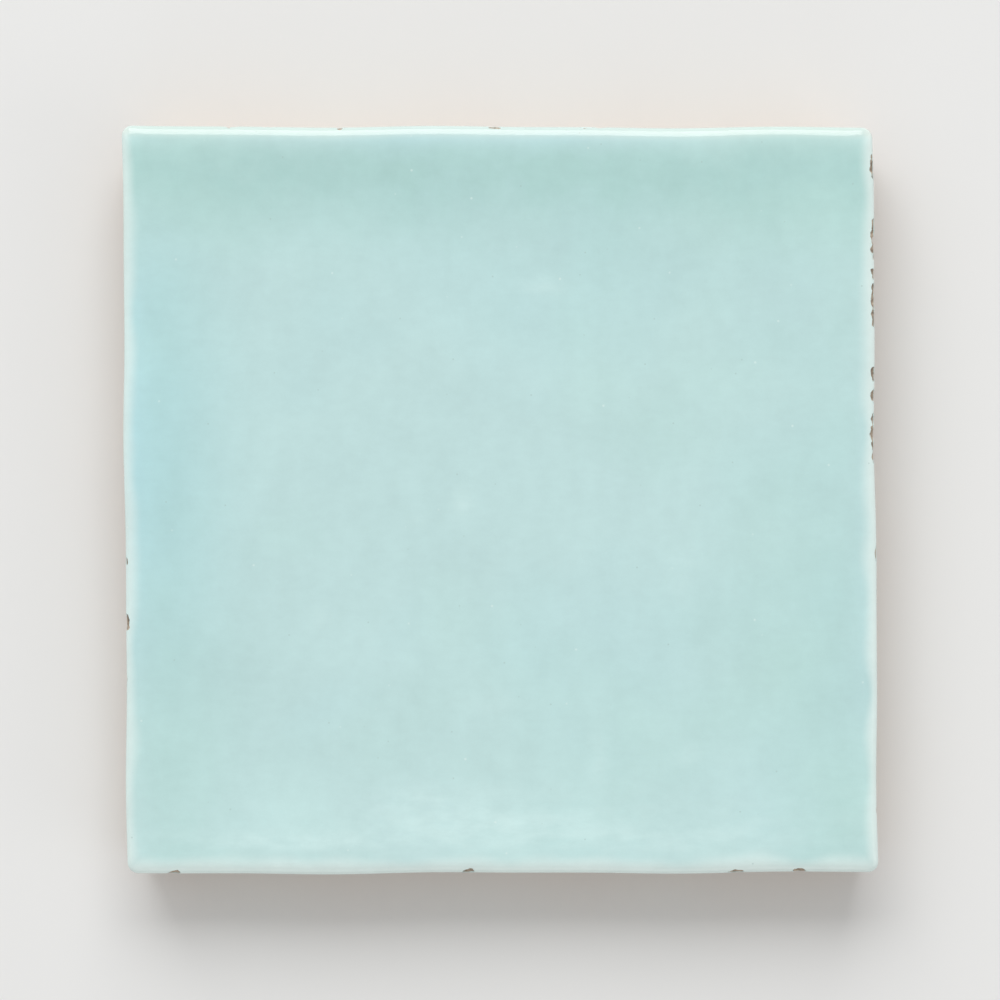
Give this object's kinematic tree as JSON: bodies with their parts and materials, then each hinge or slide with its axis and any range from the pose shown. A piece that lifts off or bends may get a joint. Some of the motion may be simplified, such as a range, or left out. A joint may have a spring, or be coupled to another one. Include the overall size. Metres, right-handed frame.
{
  "type": "zellige tile",
  "caption": "Square glazed clay tile with a shallow dished, gently wavy face, a glaze rim rolled over slightly undercut hand-cut sides, and a flat bedding back",
  "frame": {"origin": "The middle of the flat back that beds on the wall. The tile lies on its back.", "axes": "+Z comes out of the glazed face. +Y points to the tile's top edge and +X to its right edge, as it hangs on the wall."},
  "size_m": [0.1008, 0.0998, 0.011],
  "materials": {
    "glazed_clay": "gloss"
  },
  "bodies": {
    "root": {"zellige_tile": "glazed_clay"}
  },
  "joints": []
}
